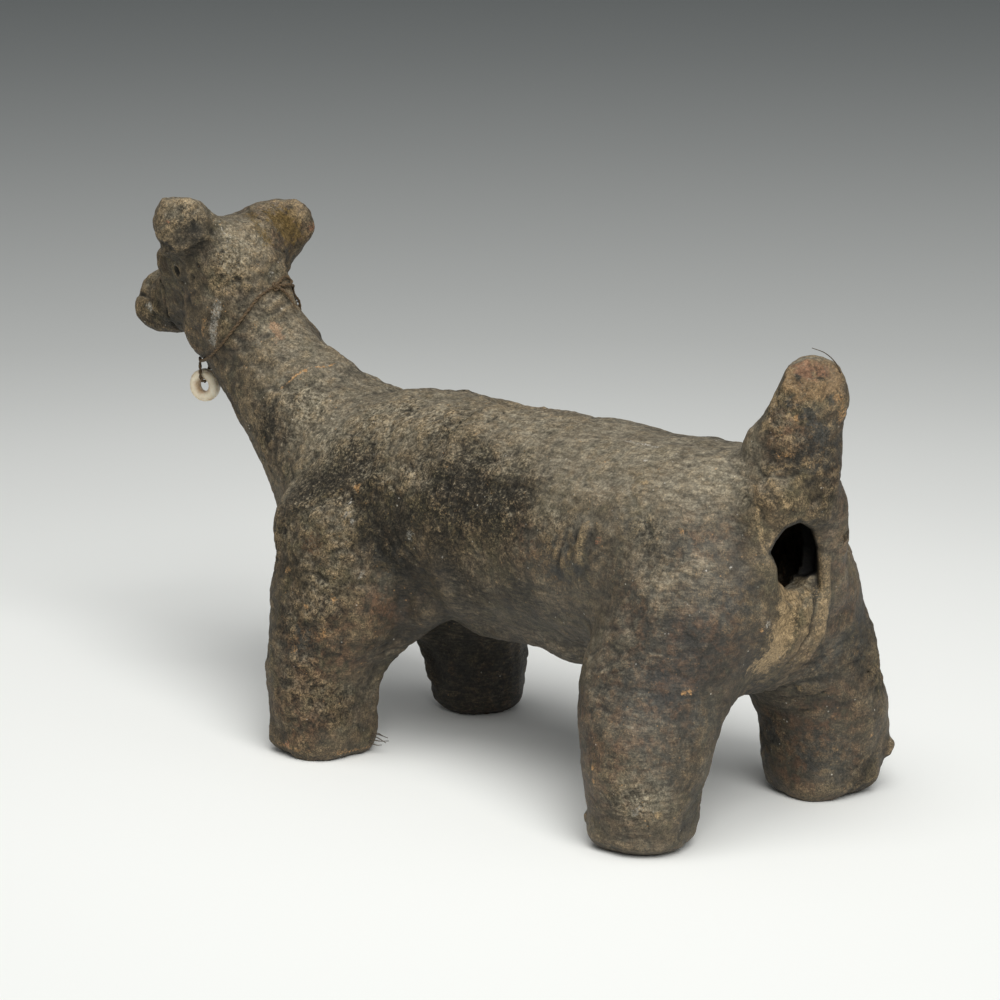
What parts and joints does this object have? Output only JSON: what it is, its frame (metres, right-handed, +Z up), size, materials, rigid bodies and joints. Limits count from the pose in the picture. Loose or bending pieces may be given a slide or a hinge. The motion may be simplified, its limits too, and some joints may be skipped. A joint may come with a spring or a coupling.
{
  "type": "clay dog figurine",
  "caption": "Hand-built hollow clay dog standing on stub legs, with a broken tail, a firing vent in the rump and a neck cord that carries a ring bead of shell.",
  "frame": {"origin": "on the floor under the middle of the figure's outer box", "axes": "+X forward to the nose, +Y to the dog's left, +Z up"},
  "size_m": [0.3198, 0.1302, 0.183],
  "materials": {
    "clay": "low-fired clay under a matt, dusty, soot-dark crust",
    "sandy_clay": "rough sandy clay, bare and matt",
    "twine": "thin twisted plant-fibre cord, dark with handling",
    "shell": "worn ivory-white shell with tan stains, satin"
  },
  "bodies": {
    "figure": {"torso_front": "clay", "torso_rear": "clay", "neck": "clay", "head": "clay", "muzzle": "clay", "ear_left": "clay", "ear_right": "clay", "tail": "clay", "leg_front_left": "clay", "leg_front_right": "clay", "leg_hind_left": "clay", "leg_hind_right": "clay", "belly_strip": "clay", "rump_patch": "sandy_clay", "cord_left": "twine", "cord_right": "twine", "cord_knot": "twine"},
    "drop": {"cord_drop": "twine"},
    "bead": {"shell_bead": "shell"}
  },
  "joints": [
    {"name": "drop_swing", "type": "hinge", "parent": "figure", "child": "drop", "pos_m": [0.12122, 0.00878, 0.1202], "axis": [0.2588, -0.9659, 0], "range_deg": [-1, 90]},
    {"name": "bead_swing", "type": "hinge", "parent": "drop", "child": "bead", "pos_m": [0.12122, 0.00878, 0.1133], "axis": [0.2588, -0.9659, 0], "range_deg": [-60, 60]}
  ]
}
